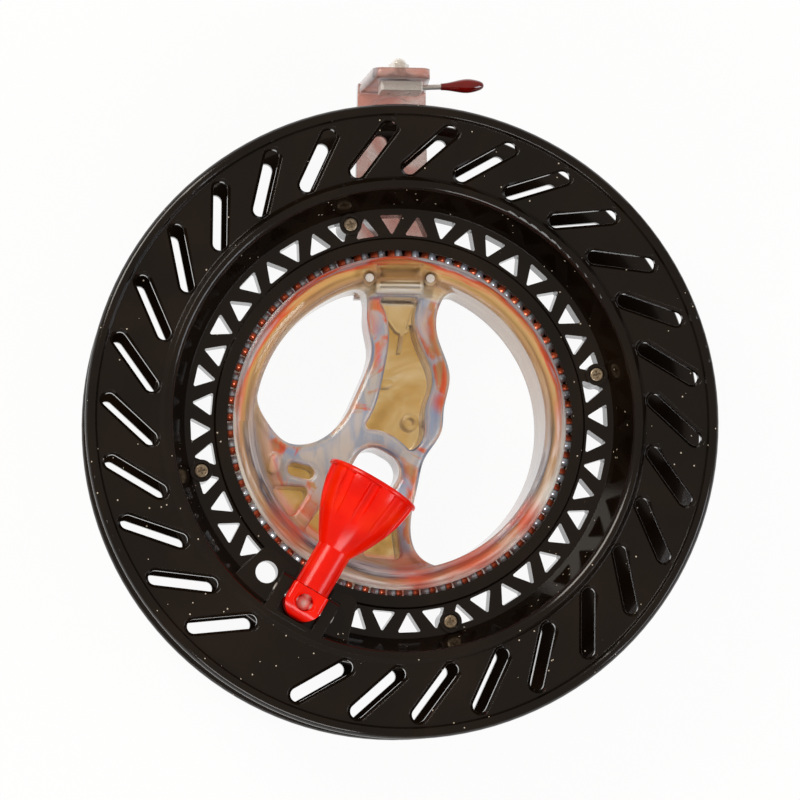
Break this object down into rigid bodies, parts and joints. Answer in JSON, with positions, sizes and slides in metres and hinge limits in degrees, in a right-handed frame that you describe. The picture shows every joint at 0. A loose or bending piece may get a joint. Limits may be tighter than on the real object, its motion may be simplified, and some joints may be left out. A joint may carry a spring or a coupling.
{
  "type": "kite line winder",
  "caption": "Kite line winder: slotted spool wheel on a ball race round a clear grip ring, fold-away crank with a fluted knob, and a guide arm with a line lock.",
  "frame": {"origin": "on the wheel's axis, on the flat back of the grip, which is the plane the winder rests on when it lies on its back", "axes": "+Z along the wheel's axis, out of its face; +Y along the guide arm; +X to the right, seen from the front"},
  "size_m": [0.22, 0.2394, 0.0603],
  "materials": {
    "black_plastic": "glossy",
    "red_plastic": "glossy",
    "clear_plastic": "clear, polished",
    "sleeve_plastic": "glossy",
    "ball_steel": "polished",
    "bright_steel": "bright",
    "screw_steel": "satin"
  },
  "bodies": {
    "handle": {"handle_frame": "clear_plastic", "guide_arm": "clear_plastic", "arm_screws": "screw_steel", "lock_bolt": "bright_steel", "lock_washer": "bright_steel", "dome_nut": "bright_steel"},
    "wheel": {"wheel_front": "black_plastic", "wheel_rear": "black_plastic", "wheel_screws": "screw_steel", "hinge_pin": "bright_steel"},
    "ball_ring": {"bearing_balls": "ball_steel"},
    "crank": {"crank_block": "red_plastic", "crank_spindle": "bright_steel", "knob_washer": "bright_steel", "knob_screw": "bright_steel"},
    "knob": {"crank_knob": "red_plastic"},
    "lock_lever": {"lock_bar": "bright_steel", "lever_rod": "bright_steel", "lever_sleeve": "sleeve_plastic"}
  },
  "joints": [
    {"name": "wheel_spin", "type": "hinge", "parent": "handle", "child": "wheel", "pos_m": [0, 0, 0.027], "axis": [0, 0, 1], "continuous": true},
    {"name": "ball_orbit", "type": "hinge", "parent": "handle", "child": "ball_ring", "pos_m": [0, 0, 0.027], "axis": [0, 0, 1], "continuous": true},
    {"name": "crank_fold", "type": "hinge", "parent": "wheel", "child": "crank", "pos_m": [-0.03477, -0.06351, 0.0435], "axis": [0.8625, -0.506, 0], "range_deg": [0, 90]},
    {"name": "knob_spin", "type": "hinge", "parent": "crank", "child": "knob", "pos_m": [-0.03477, -0.06351, 0.0435], "axis": [0.506, 0.8625, 0], "continuous": true},
    {"name": "lock_swing", "type": "hinge", "parent": "handle", "child": "lock_lever", "pos_m": [0, 0.11865, 0.027], "axis": [0, -1, 0], "range_deg": [-30, 150]}
  ],
  "couplings": [
    {"joint": "ball_orbit", "follows": "wheel_spin", "ratio": 0.52317}
  ]
}
